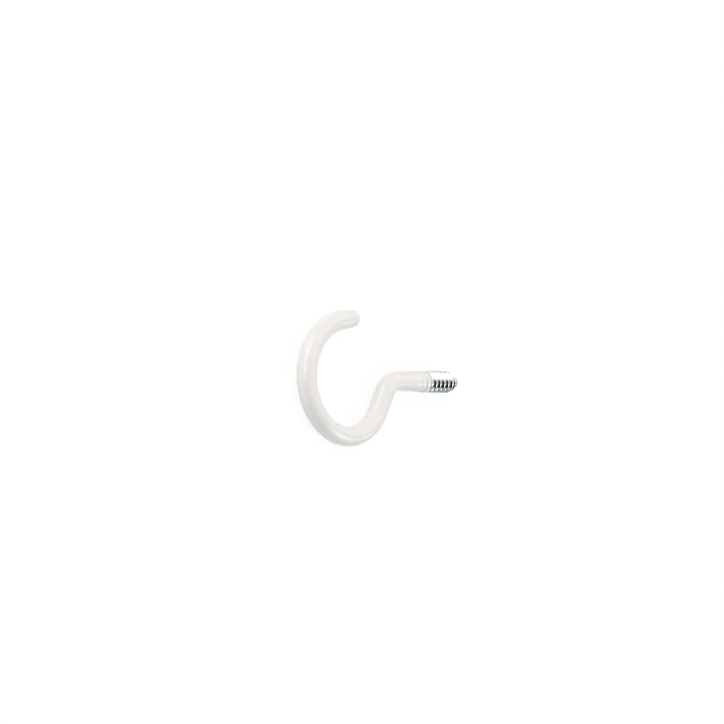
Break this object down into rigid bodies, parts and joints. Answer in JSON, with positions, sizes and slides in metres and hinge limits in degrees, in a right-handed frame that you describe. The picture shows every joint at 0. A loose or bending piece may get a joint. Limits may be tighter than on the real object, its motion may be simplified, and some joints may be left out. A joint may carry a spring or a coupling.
{
  "type": "screw hook",
  "caption": "Open round screw hook of bent steel wire, dipped in off-white vinyl, with a bare wood-screw thread and point for fixing in wood and hanging tools or cables.",
  "frame": {"origin": "on the thread's axis, where the bare thread leaves the coating's mouth", "axes": "+X along the thread towards its point, +Z out of the flat of the hook, and the hook's free end on the +Y side; it lies on its side with -Z down"},
  "size_m": [0.0828, 0.0477, 0.0074],
  "materials": {
    "zinc_steel": "bright zinc plate, rolled thread",
    "white_vinyl": "glossy dipped vinyl, warm off-white"
  },
  "bodies": {
    "root": {"steel_hook": "zinc_steel", "vinyl_coating": "white_vinyl"}
  },
  "joints": []
}
